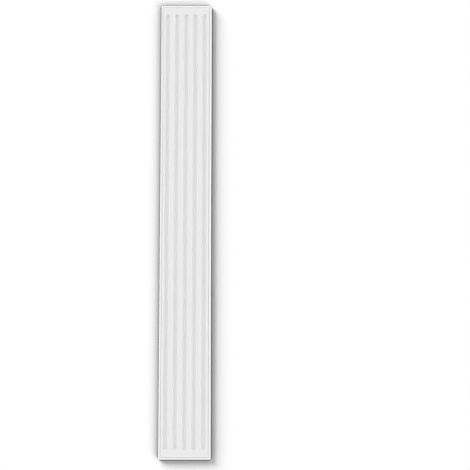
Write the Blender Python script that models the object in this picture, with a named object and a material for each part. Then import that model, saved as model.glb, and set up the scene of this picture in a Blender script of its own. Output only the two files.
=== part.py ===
"""Fluted pilaster shaft, one cast moulding that is fixed flat to a wall.

Metres, with +Z up along the shaft. The back lies in the plane Y = 0 with its centre at the
origin, and the fluted face looks along -Y.
"""

import math

import bmesh
import bpy

# Length of the shaft, and its depth from the wall to the raised field
LENGTH = 2.000
DEPTH = 0.025

# Flutes, the hollow channels with round ends, and the flat fillets between them
FLUTE_COUNT = 5
FLUTE_WIDTH = 0.027
FLUTE_DEPTH = 0.009
FILLET_WIDTH = 0.014

# Flat field left beside the outer flutes and beyond the flutes' ends
SIDE_BAND = 0.0059
END_BAND = 0.0273

# Border along all four edges: a low ledge, then a steep little step up to the field
LEDGE_WIDTH = 0.0091
STEP_WIDTH = 0.0008
STEP_RISE = 0.0025

# Radius of the soft roll from the field into a flute, and widths of the other softened edges
ARRIS_RADIUS = 0.0025
OUTER_ROUND = 0.002
FIELD_ROUND = 0.0006

# Lean of the long sides, which frees the casting from its mould
SIDE_DRAFT = math.radians(3.0)

# Flat facets across a rounded edge, a flute's roll, half its hollow, and its round end
ROUND_FACETS = 3
ARRIS_FACETS = 3
HOLLOW_FACETS = 7
END_FACETS = 20

# Points closer than this are one point
SAME_POINT = 0.000001

# Sizes that follow from the ones above
BORDER_WIDTH = LEDGE_WIDTH + STEP_WIDTH
FLUTE_PITCH = FLUTE_WIDTH + FILLET_WIDTH
FLUTED_WIDTH = FLUTE_COUNT * FLUTE_PITCH - FILLET_WIDTH
FRONT_WIDTH = FLUTED_WIDTH + 2 * (SIDE_BAND + BORDER_WIDTH)
LEDGE_DEPTH = DEPTH - STEP_RISE
BACK_WIDTH = FRONT_WIDTH + 2 * LEDGE_DEPTH * math.tan(SIDE_DRAFT)
FLUTE_END = LENGTH / 2 - BORDER_WIDTH - END_BAND - FLUTE_WIDTH / 2
HOLLOW_RADIUS = (FLUTE_WIDTH**2 / 4 + FLUTE_DEPTH**2) / (2 * FLUTE_DEPTH) - ARRIS_RADIUS
HOLLOW_CENTRE = HOLLOW_RADIUS - FLUTE_DEPTH
SECTION_TURN = math.atan2(FLUTE_WIDTH / 2, HOLLOW_CENTRE + ARRIS_RADIUS)


def clear_scene():
    """Remove the objects that a new file starts with."""
    for thing in list(bpy.data.objects):
        bpy.data.objects.remove(thing)


def new_collection(name):
    """Make a collection in the scene."""
    collection = bpy.data.collections.new(name)
    bpy.context.scene.collection.children.link(collection)
    return collection


def primed_casting():
    """White primer over a cast foam moulding: pale, matt and slightly soft in its shine."""
    material = bpy.data.materials.new("white_primed_casting")
    material.use_nodes = True
    shader = material.node_tree.nodes["Principled BSDF"]
    shader.inputs["Base Color"].default_value = (0.82, 0.82, 0.82, 1.0)
    shader.inputs["Roughness"].default_value = 0.6
    shader.inputs["Metallic"].default_value = 0.0
    return material


def foremost_face(mesh):
    """The face that stands furthest out from the wall."""
    return min(mesh.faces, key=lambda face: face.calc_center_median().y)


def round_over(mesh, edges, width):
    """Round the edges with a few facets that shade as one soft curve."""
    result = bmesh.ops.bevel(
        mesh,
        geom=edges,
        offset=width,
        offset_type="OFFSET",
        segments=ROUND_FACETS,
        profile=0.5,
        affect="EDGES",
        clamp_overlap=True,
    )
    for face in result["faces"]:
        face.smooth = True


def make_board():
    """Flat back, leaning sides and the ledge all round, left open where the field will be."""
    mesh = bmesh.new()
    bmesh.ops.create_cube(mesh, size=1.0)
    bmesh.ops.scale(mesh, vec=(BACK_WIDTH, LEDGE_DEPTH, LENGTH), verts=mesh.verts)
    bmesh.ops.translate(mesh, vec=(0.0, -LEDGE_DEPTH / 2, 0.0), verts=mesh.verts)

    front = foremost_face(mesh)
    bmesh.ops.scale(mesh, vec=(FRONT_WIDTH / BACK_WIDTH, 1.0, 1.0), verts=front.verts)
    outer_edges = list(front.edges)
    bmesh.ops.inset_region(mesh, faces=[front], thickness=LEDGE_WIDTH, use_even_offset=True)
    bmesh.ops.inset_region(
        mesh,
        faces=[front],
        thickness=STEP_WIDTH,
        depth=STEP_RISE,
        use_even_offset=True,
    )
    round_over(mesh, outer_edges, OUTER_ROUND)
    round_over(mesh, list(front.edges), FIELD_ROUND)
    bmesh.ops.delete(mesh, geom=[foremost_face(mesh)], context="FACES_ONLY")
    return mesh


def spin_section(mesh, geometry, centre, angle, steps):
    """Turn geometry round a line along the shaft, and return the points that it ends in."""
    turned = bmesh.ops.spin(
        mesh,
        geom=geometry,
        cent=centre,
        axis=(0.0, 0.0, 1.0),
        angle=angle,
        steps=steps,
    )
    return [part for part in turned["geom_last"] if isinstance(part, bmesh.types.BMVert)]


def make_flute():
    """Skin of one flute: an S-shaped section, turned for the round ends, straight between."""
    mesh = bmesh.new()
    lip = mesh.verts.new((FLUTE_WIDTH / 2, -DEPTH, FLUTE_END))
    roll_centre = (FLUTE_WIDTH / 2, -DEPTH + ARRIS_RADIUS, FLUTE_END)
    hollow_centre = (0.0, -DEPTH - HOLLOW_CENTRE, FLUTE_END)
    rolled = spin_section(mesh, [lip], roll_centre, -SECTION_TURN, ARRIS_FACETS)
    spin_section(mesh, rolled, hollow_centre, SECTION_TURN, HOLLOW_FACETS)

    bmesh.ops.spin(
        mesh,
        geom=mesh.verts[:] + mesh.edges[:],
        cent=(0.0, -DEPTH, FLUTE_END),
        axis=(0.0, 1.0, 0.0),
        angle=-math.pi,
        steps=END_FACETS,
    )
    bmesh.ops.remove_doubles(mesh, verts=mesh.verts, dist=SAME_POINT)
    round_end = mesh.verts[:] + mesh.edges[:] + mesh.faces[:]
    bmesh.ops.mirror(mesh, geom=round_end, axis="Z", merge_dist=0.0)
    cut_edges = [
        edge
        for edge in mesh.edges
        if edge.is_boundary
        and all(abs(abs(point.co.z) - FLUTE_END) < SAME_POINT for point in edge.verts)
    ]
    bmesh.ops.bridge_loops(mesh, edges=cut_edges)
    for face in mesh.faces:
        face.smooth = True

    flute = bpy.data.meshes.new("flute")
    mesh.to_mesh(flute)
    mesh.free()
    return flute


def lay_in_flutes(mesh):
    """Set the flutes side by side in the open board."""
    flute = make_flute()
    for number in range(FLUTE_COUNT):
        across = (number - (FLUTE_COUNT - 1) / 2) * FLUTE_PITCH
        already = set(mesh.verts)
        mesh.from_mesh(flute)
        added = [point for point in mesh.verts if point not in already]
        bmesh.ops.translate(mesh, vec=(across, 0.0, 0.0), verts=added)


def close_field(mesh):
    """Fill the flat field between the board's step and the flutes' mouths."""
    open_edges = [edge for edge in mesh.edges if edge.is_boundary]
    bmesh.ops.triangle_fill(
        mesh,
        edges=open_edges,
        use_beauty=True,
        normal=(0.0, -1.0, 0.0),
    )
    bmesh.ops.recalc_face_normals(mesh, faces=mesh.faces)


def make_shaft(collection):
    """The board with its flutes laid in and its field closed, one casting."""
    mesh = make_board()
    lay_in_flutes(mesh)
    close_field(mesh)
    casting = bpy.data.meshes.new("pilaster_shaft")
    mesh.to_mesh(casting)
    mesh.free()
    casting.materials.append(primed_casting())
    shaft = bpy.data.objects.new("pilaster_shaft", casting)
    collection.objects.link(shaft)


clear_scene()
pilaster = new_collection("pilaster")
make_shaft(pilaster)
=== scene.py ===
# %% [markdown]
# # A fluted pilaster shaft
#
# A pilaster is a flat column on a wall. This one is cast in a mould from rigid foam and sprayed
# with white primer: a long flat board with a narrow ledge round its edge, a slightly raised
# field, and five hollow flutes with round ends. The lesson dresses the plain solid of the part
# with a finer mesh, a primed finish, and the light that makes white on white readable.

# %% Load the solid and measure it
import math

import bmesh
import bpy
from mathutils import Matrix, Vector


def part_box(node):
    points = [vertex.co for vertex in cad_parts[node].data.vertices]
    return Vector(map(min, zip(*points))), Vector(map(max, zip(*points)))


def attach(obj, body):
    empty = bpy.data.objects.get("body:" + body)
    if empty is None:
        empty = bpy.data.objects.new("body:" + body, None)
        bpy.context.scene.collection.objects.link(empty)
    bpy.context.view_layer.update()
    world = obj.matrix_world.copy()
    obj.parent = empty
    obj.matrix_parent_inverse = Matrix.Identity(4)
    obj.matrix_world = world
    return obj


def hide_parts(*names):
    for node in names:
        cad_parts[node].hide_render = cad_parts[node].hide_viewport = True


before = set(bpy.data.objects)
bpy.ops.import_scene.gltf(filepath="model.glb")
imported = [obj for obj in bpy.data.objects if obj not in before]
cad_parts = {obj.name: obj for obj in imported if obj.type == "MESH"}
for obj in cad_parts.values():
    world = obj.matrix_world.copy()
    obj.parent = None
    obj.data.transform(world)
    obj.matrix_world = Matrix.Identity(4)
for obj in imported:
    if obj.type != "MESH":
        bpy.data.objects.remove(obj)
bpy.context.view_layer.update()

MM = 0.001
low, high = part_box("pilaster_shaft")
back_width = high.x - low.x
depth = high.y - low.y
length = high.z - low.z
print(f"Shaft: {back_width / MM:.1f} wide, {depth / MM:.1f} deep, {length / MM:.1f} mm long")

# %% [markdown]
# ## The section's sizes
#
# The overall size comes from the solid. The sizes inside it are the ones that a pattern maker
# would write on a drawing. Rounding that the solid leaves out is added here, always by taking
# material away, so that the fine shaft stays inside the solid.

# %% Name the sizes of the section
FLUTE_COUNT = 5
FLUTE_WIDTH = 27 * MM
FLUTE_DEPTH = 9 * MM
FILLET_WIDTH = 14 * MM
END_BAND = 27.3 * MM
LEDGE_WIDTH = 9.1 * MM
STEP_WIDTH = 0.8 * MM
STEP_RISE = 2.5 * MM
SIDE_DRAFT = math.radians(3)

OUTER_ROUND = 2 * MM
FIELD_ROUND = 0.6 * MM
ARRIS_ROUND = 2.5 * MM
BACK_ROUND = 0.8 * MM

ledge_depth = depth - STEP_RISE
front_width = back_width - 2 * ledge_depth * math.tan(SIDE_DRAFT)
flute_pitch = FLUTE_WIDTH + FILLET_WIDTH
hollow_radius = (FLUTE_WIDTH**2 / 4 + FLUTE_DEPTH**2) / (2 * FLUTE_DEPTH) - ARRIS_ROUND
centre_rise = hollow_radius - FLUTE_DEPTH
sweep = math.atan2(FLUTE_WIDTH / 2, centre_rise + ARRIS_ROUND)
end_height = length / 2 - LEDGE_WIDTH - STEP_WIDTH - END_BAND - FLUTE_WIDTH / 2
print(f"Each flute is hollowed to a radius of {hollow_radius / MM:.2f} mm")

# %% [markdown]
# ## The board, its ledge and its raised field
#
# On the real piece these are one skin of the mould. It could be drawn as a section and swept, but
# the ledge runs round all four edges, so a swept section would need mitres. The quickest honest
# way in Blender is to start from a cube and work on its front face. The long sides lean in a
# little, so that the casting leaves its mould.


# %% Name two helpers for the board
def round_edges(mesh, edges, width, facets):
    """Bevel the edges to a round and shade only the round as curved."""
    made = bmesh.ops.bevel(
        mesh,
        geom=edges,
        offset=width,
        offset_type="OFFSET",
        segments=facets,
        profile=0.5,
        affect="EDGES",
        material=-1,
        clamp_overlap=True,
    )
    for face in made["faces"]:
        face.smooth = True


def foremost_face(mesh):
    """The face that stands furthest out from the wall."""
    return min(mesh.faces, key=lambda face: face.calc_center_median().y)


# %% [markdown]
# First comes the bare block. The mould rounds its outer edges at the front and at the four
# corners, all in one bevel so that they meet in small ball corners. The edge against the wall is
# only just broken, because foam tears there when the casting is trimmed.


# %% Make the block
OUTER_FACETS = 6
BACK_FACETS = 3
CLEAR_OF_WALL = 1 * MM


def make_block():
    """The board without its field: a leaning block with its edges rounded."""
    mesh = bmesh.new()
    bmesh.ops.create_cube(mesh, size=1)
    bmesh.ops.scale(mesh, vec=(back_width, ledge_depth, length), verts=mesh.verts)
    bmesh.ops.translate(mesh, vec=(0, -ledge_depth / 2, 0), verts=mesh.verts)
    front = foremost_face(mesh)
    bmesh.ops.scale(mesh, vec=(front_width / back_width, 1, 1), verts=front.verts)
    # Every edge but the four that lie against the wall
    moulded = [
        edge
        for edge in mesh.edges
        if any(point.co.y < -CLEAR_OF_WALL for point in edge.verts)
    ]
    round_edges(mesh, moulded, OUTER_ROUND, OUTER_FACETS)
    back = max(mesh.faces, key=lambda face: face.calc_center_median().y)
    round_edges(mesh, list(back.edges), BACK_ROUND, BACK_FACETS)
    return mesh


shaft_mesh = make_block()
print(f"Block: {len(shaft_mesh.faces)} faces")

# %% [markdown]
# Two insets of the front face make the ledge and then the step, the second one lifting the face
# as it shrinks. The field's edge gets a very small round. The field itself is taken out again,
# because the flutes' mouths will be cut into it.


# %% Raise the field's edge
FIELD_FACETS = 3


def raise_field_edge(mesh):
    """Add the ledge and the step, and leave a hole where the raised field will be."""
    front = foremost_face(mesh)
    ledge_flat = LEDGE_WIDTH - OUTER_ROUND
    bmesh.ops.inset_region(mesh, faces=[front], thickness=ledge_flat, use_even_offset=True)
    bmesh.ops.inset_region(
        mesh, faces=[front], thickness=STEP_WIDTH, depth=STEP_RISE, use_even_offset=True
    )
    round_edges(mesh, list(front.edges), FIELD_ROUND, FIELD_FACETS)
    bmesh.ops.delete(mesh, geom=[foremost_face(mesh)], context="FACES_ONLY")


raise_field_edge(shaft_mesh)
print(f"Board: {len(shaft_mesh.faces)} faces, open over the field")

# %% [markdown]
# ## One flute
#
# A flute's section is an S: a small round that rolls off the field, then one large hollow. Both
# are arcs that touch, so two spins of a single point draw it. A half turn of that section makes
# the round end, a mirror makes the other end, and bridging the two gives the long straight run.


# %% Make one flute
ARRIS_FACETS = 8
HOLLOW_FACETS = 16
END_FACETS = 40
SAME_POINT = 0.001 * MM
SAME_HEIGHT = 0.01 * MM


def points_of(parts):
    """Only the vertices of an operator's result."""
    return [part for part in parts if isinstance(part, bmesh.types.BMVert)]


def make_flute():
    """One flute as an open skin, centred on the shaft's middle line."""
    mesh = bmesh.new()
    start = mesh.verts.new((FLUTE_WIDTH / 2, -depth, end_height))
    rolled = bmesh.ops.spin(
        mesh,
        geom=[start],
        cent=(FLUTE_WIDTH / 2, -depth + ARRIS_ROUND, end_height),
        axis=(0, 0, 1),
        angle=-sweep,
        steps=ARRIS_FACETS,
    )
    bmesh.ops.spin(
        mesh,
        geom=points_of(rolled["geom_last"]),
        cent=(0, -depth - centre_rise, end_height),
        axis=(0, 0, 1),
        angle=sweep,
        steps=HOLLOW_FACETS,
    )
    bmesh.ops.spin(
        mesh,
        geom=mesh.verts[:] + mesh.edges[:],
        cent=(0, -depth, end_height),
        axis=(0, 1, 0),
        angle=-math.pi,
        steps=END_FACETS,
    )
    bmesh.ops.remove_doubles(mesh, verts=mesh.verts, dist=SAME_POINT)
    whole = mesh.verts[:] + mesh.edges[:] + mesh.faces[:]
    bmesh.ops.mirror(mesh, geom=whole, axis="Z", merge_dist=0)
    straight_ends = [
        edge
        for edge in mesh.edges
        if edge.is_boundary
        and all(abs(abs(point.co.z) - end_height) < SAME_HEIGHT for point in edge.verts)
    ]
    bmesh.ops.bridge_loops(mesh, edges=straight_ends)
    for face in mesh.faces:
        face.smooth = True
    flute = bpy.data.meshes.new("flute")
    mesh.to_mesh(flute)
    mesh.free()
    return flute


flute = make_flute()
deepest = max(point.co.y for point in flute.vertices)
print(f"Flute: {len(flute.polygons)} faces, {(depth + deepest) / MM:.2f} mm deep")

# %% [markdown]
# ## Five flutes and the field between them
#
# The same flute is laid in five times, side by side. Every edge that is still open then lies in
# the plane of the field, so one triangle fill closes the field round all five mouths at once.


# %% Lay in the flutes and close the field
def lay_in_flutes(mesh):
    """Copy the flute into the board, five times at the flutes' pitch."""
    for number in range(FLUTE_COUNT):
        aside = (number - (FLUTE_COUNT - 1) / 2) * flute_pitch
        already = set(mesh.verts)
        mesh.from_mesh(flute)
        added = [point for point in mesh.verts if point not in already]
        bmesh.ops.translate(mesh, vec=(aside, 0, 0), verts=added)


def close_field(mesh):
    """Fill the flat field between the board's step and the flutes' mouths."""
    open_edges = [edge for edge in mesh.edges if edge.is_boundary]
    filled = bmesh.ops.triangle_fill(mesh, edges=open_edges, use_beauty=True, normal=(0, -1, 0))
    bmesh.ops.recalc_face_normals(mesh, faces=mesh.faces)
    return [part for part in filled["geom"] if isinstance(part, bmesh.types.BMFace)]


lay_in_flutes(shaft_mesh)
field_faces = close_field(shaft_mesh)
still_open = sum(1 for edge in shaft_mesh.edges if not edge.is_manifold)
print(f"Field: {len(field_faces)} triangles, {still_open} open edges left")

# %% [markdown]
# The mesh work is done, so it becomes an object. It sits at the origin with its place in its
# mesh, exactly where the solid is.

# %% Make the shaft's object
LITRE = (100 * MM) ** 3

shaft_data = bpy.data.meshes.new("fluted_shaft")
shaft_mesh.to_mesh(shaft_data)
print(f"Fine shaft: {shaft_mesh.calc_volume() / LITRE:.3f} litres")
shaft_mesh.free()
shaft = bpy.data.objects.new("fluted_shaft", shaft_data)
bpy.context.scene.collection.objects.link(shaft)
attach(shaft, "root")
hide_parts("pilaster_shaft")

# %% [markdown]
# ## Helpers for the finishes
#
# Colours are written as the screen shows them and turned to linear light once. One small
# function adds a node with its settings and links, so that a finish reads from top to bottom.


# %% Name the helpers for the finishes
def linear(hex_colour):
    """An sRGB hex colour as linear red, green, blue and alpha."""
    channels = [int(hex_colour[place : place + 2], 16) / 255 for place in (1, 3, 5)]
    curve = [c / 12.92 if c <= 0.04045 else ((c + 0.055) / 1.055) ** 2.4 for c in channels]
    return (*curve, 1)


def add_node(tree, kind, links=(), inputs=(), **settings):
    """Add one node, set its options and values, and link other nodes' outputs to it."""
    node = tree.nodes.new(kind)
    for name, value in settings.items():
        setattr(node, name, value)
    for name, value in dict(inputs).items():
        node.inputs[name].default_value = value
    for name, output in dict(links).items():
        tree.links.new(output, node.inputs[name])
    return node


def new_finish(name):
    """A new material and its node tree."""
    material = bpy.data.materials.new(name)
    material.use_nodes = True
    return material, material.node_tree


# %% [markdown]
# ## Rigid polyurethane foam with a white primer
#
# The shaft is moulded in rigid polyurethane foam, which comes out of the mould with a thin closed
# skin, pale cream, and is then sprayed with a matt white water-based primer. Two finishes could
# be given to separate faces, but sprayed paint has no clean edge. So one material holds both,
# and a mask says where the primer lies. The mask is worked out first. Overspray thins out in
# clots. Real ones are about 2 mm apart, and they are drawn 6 mm apart, so that they show.


# %% Find where the primer lies
OVERSPRAY = 45 * MM
FULL_COAT = 2 * MM
CLOT_SPACING = 6 * MM
# Cover and clots are added up, and these two sums part bare foam from a full coat
BARE_BELOW = 0.75
COATED_ABOVE = 1.2


def primer_cover(tree, place):
    """1 under the primer and 0 on bare foam, with ragged overspray along the back's edges."""
    parts = add_node(tree, "ShaderNodeSeparateXYZ", links={0: place})
    cover = add_node(
        tree,
        "ShaderNodeMapRange",
        links={"Value": parts.outputs["Y"]},
        inputs={"From Min": -FULL_COAT, "From Max": -BACK_ROUND, "To Min": 1, "To Max": 0},
    )
    for axis, edge in (("X", back_width / 2), ("Z", length / 2)):
        away = add_node(
            tree, "ShaderNodeMath", links={0: parts.outputs[axis]}, operation="ABSOLUTE"
        )
        near = add_node(
            tree,
            "ShaderNodeMapRange",
            links={"Value": away.outputs[0]},
            inputs={"From Min": edge - OVERSPRAY, "From Max": edge},
        )
        cover = add_node(
            tree,
            "ShaderNodeMath",
            links={0: cover.outputs[0], 1: near.outputs[0]},
            operation="MAXIMUM",
        )
    clots = add_node(
        tree,
        "ShaderNodeTexNoise",
        links={"Vector": place},
        inputs={"Scale": 1 / CLOT_SPACING, "Detail": 4},
    )
    speckled = add_node(
        tree,
        "ShaderNodeMath",
        links={0: cover.outputs[0], 1: clots.outputs["Fac"]},
        operation="ADD",
    )
    return add_node(
        tree,
        "ShaderNodeMapRange",
        links={"Value": speckled.outputs[0]},
        inputs={"From Min": BARE_BELOW, "From Max": COATED_ABOVE},
        interpolation_type="SMOOTHSTEP",
    ).outputs[0]


print(f"Overspray reaches {OVERSPRAY / MM:.0f} mm over the back")

# %% [markdown]
# The primer is an even white that never mirrors anything. What the eye gets from it is a faint
# stipple, very faint clouds where the coat is thicker, and a fine grey line of painted shade in
# the inner corner of the step.


# %% Mix the primer's colour
THIN_PRIMER = "#DCDCDC"
THICK_PRIMER = "#E2E2E2"
CLOUD_SIZE = 90 * MM
STIPPLE_SHARE = 0.5
# Painted shade: the primer greys where an inner corner closes it in
CORNER_SHADE_REACH = 5 * MM
CORNER_TIGHT = 0.5
CORNER_OPEN = 0.92
CORNER_PAINTED_SHADE = 0.62


def primer_colour_with_corner_shade(tree, place, stipple):
    """White primer with faint clouds, greyed by painted shade in tight inner corners."""
    clouds = add_node(
        tree,
        "ShaderNodeTexNoise",
        links={"Vector": place},
        inputs={"Scale": 1 / CLOUD_SIZE, "Detail": 2},
    )
    mottle = add_node(
        tree,
        "ShaderNodeMix",
        links={2: clouds.outputs["Fac"], 3: stipple},
        inputs={0: STIPPLE_SHARE},
        data_type="FLOAT",
    )
    white = add_node(
        tree,
        "ShaderNodeMix",
        links={0: mottle.outputs[0]},
        inputs={6: linear(THIN_PRIMER), 7: linear(THICK_PRIMER)},
        data_type="RGBA",
    )
    # Painted shade: the less open a point is, the greyer its primer, which draws a shade line in
    # the step's inner corner
    openness = add_node(
        tree,
        "ShaderNodeAmbientOcclusion",
        inputs={"Distance": CORNER_SHADE_REACH},
        only_local=True,
    )
    corner = add_node(
        tree,
        "ShaderNodeMapRange",
        links={"Value": openness.outputs["AO"]},
        inputs={"From Min": CORNER_TIGHT, "From Max": CORNER_OPEN, "To Min": CORNER_PAINTED_SHADE},
    )
    return add_node(
        tree,
        "ShaderNodeVectorMath",
        links={0: white.outputs[2], "Scale": corner.outputs[0]},
        operation="SCALE",
    ).outputs[0]


# %% [markdown]
# The bare skin on the back is cream and duller. It shows the slow swirls of the rising foam and
# small pinholes, where gas bubbles met the mould. Real pinholes are under 1 mm across. They are
# drawn about 4 mm across, so that they show at all from a step away.


# %% Mix the bare foam's colour
PINHOLE_SPACING = 24 * MM
PINHOLE_RADIUS = 2 * MM
PINHOLE_SOFTNESS = 0.5
PINHOLE_PAINTED_SHADE = "#A89A7C"
DARK_SKIN = "#D8CDB2"
PALE_SKIN = "#EAE2CE"


def foam_pinholes(tree, place):
    """0 in a pinhole and 1 on the skin between the pinholes."""
    bubbles = add_node(
        tree,
        "ShaderNodeTexVoronoi",
        links={"Vector": place},
        inputs={"Scale": 1 / PINHOLE_SPACING},
    )
    rim = PINHOLE_RADIUS / PINHOLE_SPACING
    return add_node(
        tree,
        "ShaderNodeMapRange",
        links={"Value": bubbles.outputs["Distance"]},
        inputs={
            "From Min": (1 - PINHOLE_SOFTNESS) * rim,
            "From Max": (1 + PINHOLE_SOFTNESS) * rim,
        },
    ).outputs[0]


def foam_colour(tree, swirl, pinholes):
    """Cream foam skin with slow swirls, and painted shade inside its pinholes."""
    skin = add_node(
        tree,
        "ShaderNodeMix",
        links={0: swirl},
        inputs={6: linear(DARK_SKIN), 7: linear(PALE_SKIN)},
        data_type="RGBA",
    )
    # Painted shade: the skin is darkened inside each pinhole, where shade falls
    return add_node(
        tree,
        "ShaderNodeMix",
        links={0: pinholes, 7: skin.outputs[2]},
        inputs={6: linear(PINHOLE_PAINTED_SHADE)},
        data_type="RGBA",
    ).outputs[2]


# %% [markdown]
# Both surfaces have a relief as well. The primer keeps the low bumps that a spray gun leaves, and
# the bare skin follows its swirls and dips into its pinholes.


# %% Shape the relief
STIPPLE_RELIEF = 0.15 * MM
SKIN_RELIEF = 0.5 * MM


def surface_relief(tree, cover, stipple, swirl, pinholes):
    """Stipple on the primer, and swirls and pinholes on the bare skin."""
    skin_height = add_node(
        tree,
        "ShaderNodeMath",
        links={0: swirl, 1: pinholes},
        operation="ADD",
    )
    skin_relief = add_node(
        tree,
        "ShaderNodeBump",
        links={"Height": skin_height.outputs[0]},
        inputs={"Strength": 0.5, "Distance": SKIN_RELIEF},
    )
    primer_relief = add_node(
        tree,
        "ShaderNodeBump",
        links={"Height": stipple},
        inputs={"Strength": 0.8, "Distance": STIPPLE_RELIEF},
    )
    return add_node(
        tree,
        "ShaderNodeMix",
        links={0: cover, 4: skin_relief.outputs[0], 5: primer_relief.outputs[0]},
        data_type="VECTOR",
    ).outputs[1]


# %% [markdown]
# The mask now chooses between the two colours, the two degrees of shine and the two reliefs. The
# stipple of a spray gun is really about 1 mm across and is drawn at 4 mm, so that it shows.


# %% Put the finish together
STIPPLE_SIZE = 4 * MM
SWIRL_SIZE = 70 * MM
SHINIEST_PRIMER = 0.5
DULLEST_PRIMER = 0.68
DULL_SKIN = 0.85


def primed_foam_moulding():
    """Matt sprayed primer on the front and sides, bare foam skin in the middle of the back."""
    material, tree = new_finish("primed_polyurethane_foam_moulding")
    place = add_node(tree, "ShaderNodeTexCoord").outputs["Object"]
    cover = primer_cover(tree, place)
    stipple = add_node(
        tree,
        "ShaderNodeTexNoise",
        links={"Vector": place},
        inputs={"Scale": 1 / STIPPLE_SIZE, "Detail": 3},
    ).outputs["Fac"]
    swirl = add_node(
        tree,
        "ShaderNodeTexNoise",
        links={"Vector": place},
        inputs={"Scale": 1 / SWIRL_SIZE, "Detail": 3, "Distortion": 1.6},
    ).outputs["Fac"]
    pinholes = foam_pinholes(tree, place)
    colour = add_node(
        tree,
        "ShaderNodeMix",
        links={
            0: cover,
            6: foam_colour(tree, swirl, pinholes),
            7: primer_colour_with_corner_shade(tree, place, stipple),
        },
        data_type="RGBA",
    )
    sheen = add_node(
        tree,
        "ShaderNodeMapRange",
        links={"Value": stipple},
        inputs={"To Min": SHINIEST_PRIMER, "To Max": DULLEST_PRIMER},
    )
    dullness = add_node(
        tree,
        "ShaderNodeMix",
        links={0: cover, 3: sheen.outputs[0]},
        inputs={2: DULL_SKIN},
        data_type="FLOAT",
    )
    relief = surface_relief(tree, cover, stipple, swirl, pinholes)
    shader = tree.nodes["Principled BSDF"]
    tree.links.new(colour.outputs[2], shader.inputs["Base Color"])
    tree.links.new(dullness.outputs[0], shader.inputs["Roughness"])
    tree.links.new(relief, shader.inputs["Normal"])
    return material


shaft.data.materials.append(primed_foam_moulding())
print("Primed finish on the shaft, bare foam on its back")

# %% [markdown]
# ## The wall and the floor
#
# A pilaster is glued flat to a wall, so the stage is a white wall just behind it and a pale floor
# below. Both are plain sheets that can't be seen from behind, so that the back of the shaft can be
# looked at too.


# %% Name a helper for the stage's sheets
def add_sheet(name, width, tall, centre, normal, material):
    """One flat sheet of the stage, which neither shades nor lights the shaft."""
    mesh = bmesh.new()
    # A grid's size is half of its side, so this one is a metre square until it is scaled
    bmesh.ops.create_grid(mesh, x_segments=1, y_segments=1, size=0.5)
    bmesh.ops.scale(mesh, vec=(width, tall, 1), verts=mesh.verts)
    turn = Vector((0, 0, 1)).rotation_difference(Vector(normal)).to_matrix()
    bmesh.ops.transform(mesh, matrix=turn.to_4x4(), verts=mesh.verts)
    bmesh.ops.translate(mesh, vec=centre, verts=mesh.verts)
    data = bpy.data.meshes.new(name)
    mesh.to_mesh(data)
    mesh.free()
    sheet = bpy.data.objects.new(name, data)
    sheet.data.materials.append(material)
    sheet.visible_diffuse = False
    sheet.visible_shadow = False
    bpy.context.scene.collection.objects.link(sheet)
    return sheet


# %% [markdown]
# On white, the soft shade round an object is what makes it stand off the wall. Light bouncing
# between the two would make that shade weak, so the paint deepens it: an Ambient Occlusion node
# measures how open each point of the wall is, from 0.5 in the corner beside the shaft to 1 far
# from it, and the paint gets darker as the wall gets less open. Its colour is a mid grey, which
# the strong suns on the wall lift to white.


# %% Mix the paint of the wall and the floor
WALL_PAINT = "#7C7C7C"
SHADE_REACH = 140 * MM
CORNER_OPENNESS = 0.5
CORNER_SHADE = 0.55
CLEAR_FROM = 0.98


def matt_wall_paint():
    """Plain matt emulsion, shaded close to the shaft and clear from behind."""
    material, tree = new_finish("matt_emulsion_paint")
    tree.nodes.remove(tree.nodes["Principled BSDF"])
    openness = add_node(tree, "ShaderNodeAmbientOcclusion", inputs={"Distance": SHADE_REACH})
    shade = add_node(
        tree,
        "ShaderNodeMapRange",
        links={"Value": openness.outputs["AO"]},
        inputs={"From Min": CORNER_OPENNESS, "From Max": CLEAR_FROM, "To Min": CORNER_SHADE},
    )
    shaded = add_node(
        tree,
        "ShaderNodeVectorMath",
        links={"Scale": shade.outputs[0]},
        inputs={0: linear(WALL_PAINT)[:3]},
        operation="SCALE",
    )
    paint = add_node(tree, "ShaderNodeBsdfDiffuse", links={"Color": shaded.outputs[0]})
    clear = add_node(tree, "ShaderNodeBsdfTransparent")
    side = add_node(tree, "ShaderNodeNewGeometry")
    shown = add_node(
        tree,
        "ShaderNodeMixShader",
        links={0: side.outputs["Backfacing"], 1: paint.outputs[0], 2: clear.outputs[0]},
    )
    tree.links.new(shown.outputs[0], tree.nodes["Material Output"].inputs["Surface"])
    return material


# %% Set up the wall and the floor
WALL_GAP = 0.5 * MM
WALL_WIDTH = 5.0
WALL_HEIGHT = 3.2
FLOOR_DROP = 0.12
FLOOR_SIZE = 9.0

stage_paint = matt_wall_paint()
floor_level = low.z - FLOOR_DROP
wall_middle = (0, WALL_GAP, floor_level + WALL_HEIGHT / 2)
wall = add_sheet("wall", WALL_WIDTH, WALL_HEIGHT, wall_middle, (0, -1, 0), stage_paint)
# The primer's faint sheen mirrors the tent and not the wall
wall.visible_glossy = False
floor_middle = (0, 0, floor_level)
floor = add_sheet("floor", FLOOR_SIZE, FLOOR_SIZE, floor_middle, (0, 0, 1), stage_paint)
print("Wall and floor set up")

# %% [markdown]
# ## Light
#
# White relief on white reads only if each side of it gets a different amount of light. Product
# photographers put such things in a light tent, a box of white cloth lit from outside: its two
# sides glow, and its front, where the camera looks in, is darker. In Blender the world can be the
# tent. A ramp holds its brightness at each angle round the shaft, in degrees from straight in
# front, negative to the left. The flutes' floors face the dark front and turn grey, and their
# flanks and rolled edges face the bright sides. Behind the shaft the tent is dim, most of all at
# the left, so that the shaft's left side isn't bleached where it is seen from behind.

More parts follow.
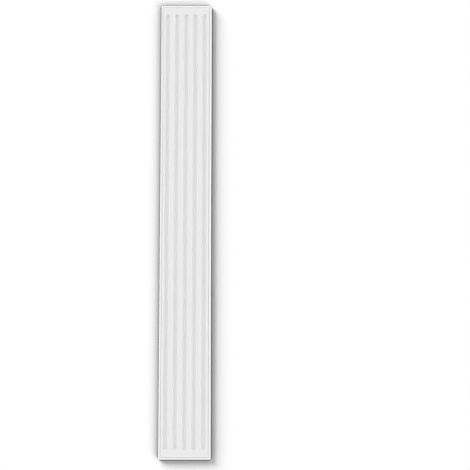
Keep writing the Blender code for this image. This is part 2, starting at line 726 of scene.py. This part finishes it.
# %% Say how bright the tent is
TENT_GLOW = {
    -180: 0.1,
    -95: 0.1,
    -82: 1.85,
    -65: 1.45,
    -25: 1.18,
    12: 0.66,
    28: 0.82,
    50: 1.42,
    88: 1.75,
    95: 0.35,
}
TENT_BRIGHTEST = max(TENT_GLOW.values())
TENT_RISE = 0.1
SEEN_LIGHT = 1.05
print(f"The tent has {len(TENT_GLOW)} stops")


# %% [markdown]
# The world's direction is turned into an angle round the shaft, which picks the brightness. The
# tent is also a little brighter above than below. What the camera sees beyond the stage is plain
# white.


# %% Hang the light tent
def tent_angle(tent, direction):
    """The angle round the shaft, as 0 to 1 from behind by way of the left, front and right."""
    inward = add_node(
        tent,
        "ShaderNodeMath",
        links={0: direction.outputs["Y"]},
        inputs={1: -1},
        operation="MULTIPLY",
    )
    turn = add_node(
        tent,
        "ShaderNodeMath",
        links={0: direction.outputs["X"], 1: inward.outputs[0]},
        operation="ARCTAN2",
    )
    return add_node(
        tent,
        "ShaderNodeMapRange",
        links={"Value": turn.outputs[0]},
        inputs={"From Min": -math.pi, "From Max": math.pi},
    ).outputs[0]


def tent_glow(tent, direction):
    """The tent's brightness in each direction."""
    cloth = add_node(tent, "ShaderNodeValToRGB", links={0: tent_angle(tent, direction)})
    stops = cloth.color_ramp.elements
    stops.remove(stops[1])
    for angle, glow in TENT_GLOW.items():
        stop = stops.new(angle / 360 + 0.5)
        stop.color = (*[glow / TENT_BRIGHTEST] * 3, 1)
    stops.remove(stops[0])
    height = add_node(
        tent,
        "ShaderNodeMapRange",
        links={"Value": direction.outputs["Z"]},
        inputs={
            "From Min": -1,
            "To Min": (1 - TENT_RISE) * TENT_BRIGHTEST,
            "To Max": (1 + TENT_RISE) * TENT_BRIGHTEST,
        },
    )
    return add_node(
        tent,
        "ShaderNodeMath",
        links={0: cloth.outputs["Color"], 1: height.outputs[0]},
        operation="MULTIPLY",
    ).outputs[0]


world = bpy.data.worlds.new("light_tent")
world.use_nodes = True
bpy.context.scene.world = world
tent = world.node_tree
outward = add_node(tent, "ShaderNodeTexCoord").outputs["Generated"]
direction = add_node(tent, "ShaderNodeSeparateXYZ", links={0: outward})
camera_ray = add_node(tent, "ShaderNodeLightPath").outputs["Is Camera Ray"]
strength = add_node(
    tent,
    "ShaderNodeMix",
    links={0: camera_ray, 2: tent_glow(tent, direction)},
    inputs={3: SEEN_LIGHT},
    data_type="FLOAT",
)
tent.nodes["Background"].inputs["Color"].default_value = (1, 1, 1, 1)
tent.links.new(strength.outputs[0], tent.nodes["Background"].inputs["Strength"])
print("Tent hung")

# %% [markdown]
# Five suns and one box of light do what the tent can't. Two suns light only the wall: a strong one
# from the upper left, which throws the wide soft shadow on the right and under the foot, and a
# weaker one from the lower right. One lights the floor evenly. Two faint ones graze the shaft from
# slightly behind, as light coming back off a white wall does, and touch only its sides, ends and
# edges. The box lights the shaft's back.


# %% Name two helpers for the lights
def group_of(name, things):
    """A collection that tells a light which things it may light."""
    group = bpy.data.collections.new(name)
    for thing in things:
        group.objects.link(thing)
    return group


def add_light(name, kind, place, energy, lit, **settings):
    """A light that shines from a place towards the shaft's middle, on one group of things."""
    data = bpy.data.lights.new(name, kind)
    data.energy = energy
    for setting, value in settings.items():
        setattr(data, setting, value)
    light = bpy.data.objects.new(name, data)
    light.location = place
    light.rotation_euler = Vector(place).to_track_quat("Z", "Y").to_euler()
    light.light_linking.receiver_collection = lit
    bpy.context.scene.collection.objects.link(light)


# %% Make the lights
WIDE_SUN = math.radians(44)
NARROW_SUN = math.radians(12)

lit_shaft = group_of("lit_shaft", [shaft])
lit_wall = group_of("lit_wall", [wall])
lit_floor = group_of("lit_floor", [floor])
# Name, kind, place in metres, energy, what it lights, and its other settings
lights = [
    ("wall_key", "SUN", (-3.4, -1.7, 3.6), 25, lit_wall, {"angle": WIDE_SUN}),
    ("wall_fill", "SUN", (2.3, -2.0, -2.3), 8.6, lit_wall, {"angle": WIDE_SUN}),
    ("floor_light", "SUN", (0, 0, 3), 14, lit_floor, {"use_shadow": False}),
    ("edge_upper_left", "SUN", (-0.8, 0.15, 0.6), 1.0, lit_shaft, {"angle": NARROW_SUN}),
    ("edge_lower_right", "SUN", (0.8, 0.15, -0.6), 0.7, lit_shaft, {"angle": NARROW_SUN}),
    ("back_box", "AREA", (0, 3.2, 2.0), 74, lit_shaft, {"size": 1.5}),
]
for name, kind, place, energy, lit, settings in lights:
    add_light(name, kind, place, energy, lit, **settings)
print(f"{len(lights)} lights on")

# %% [markdown]
# ## Camera
#
# The edges of the shaft draw together a little towards the top, so the camera stands below its
# middle and looks slightly up. It also stands a little to the right and looks straight ahead,
# which puts the shaft left of the middle of the picture.

# %% Place the camera
CAMERA_DISTANCE = 4.0
CAMERA_ASIDE = 0.2176
CAMERA_HEIGHT = -0.4256
CAMERA_TILT = math.radians(5.618)
CAMERA_LENS = 69.87
CAMERA_SENSOR = 36

camera_data = bpy.data.cameras.new("camera")
camera_data.lens = CAMERA_LENS
camera_data.sensor_width = CAMERA_SENSOR
camera = bpy.data.objects.new("camera", camera_data)
camera.location = (CAMERA_ASIDE, -CAMERA_DISTANCE, CAMERA_HEIGHT)
camera.rotation_euler = (math.radians(90) + CAMERA_TILT, 0, 0)
bpy.context.scene.collection.objects.link(camera)
bpy.context.scene.camera = camera
bpy.context.scene.view_settings.view_transform = "Standard"
print("Camera placed")

# %% [markdown]
# ## Sharpen the picture
#
# Small pictures for print and for the screen are sharpened a little, or fine edges go soft. The
# compositor does it here after the render, and turns the step of the border into a crisp line.

# %% Sharpen the picture
SHARPENING = 0.12

scene = bpy.context.scene
scene.use_nodes = True
darkroom = scene.node_tree
darkroom.nodes.clear()
rendered = add_node(darkroom, "CompositorNodeRLayers").outputs["Image"]
crisp = add_node(
    darkroom,
    "CompositorNodeFilter",
    links={"Image": rendered},
    inputs={"Fac": SHARPENING},
    filter_type="SHARPEN",
)
add_node(darkroom, "CompositorNodeComposite", links={"Image": crisp.outputs["Image"]})
print("Picture sharpened")
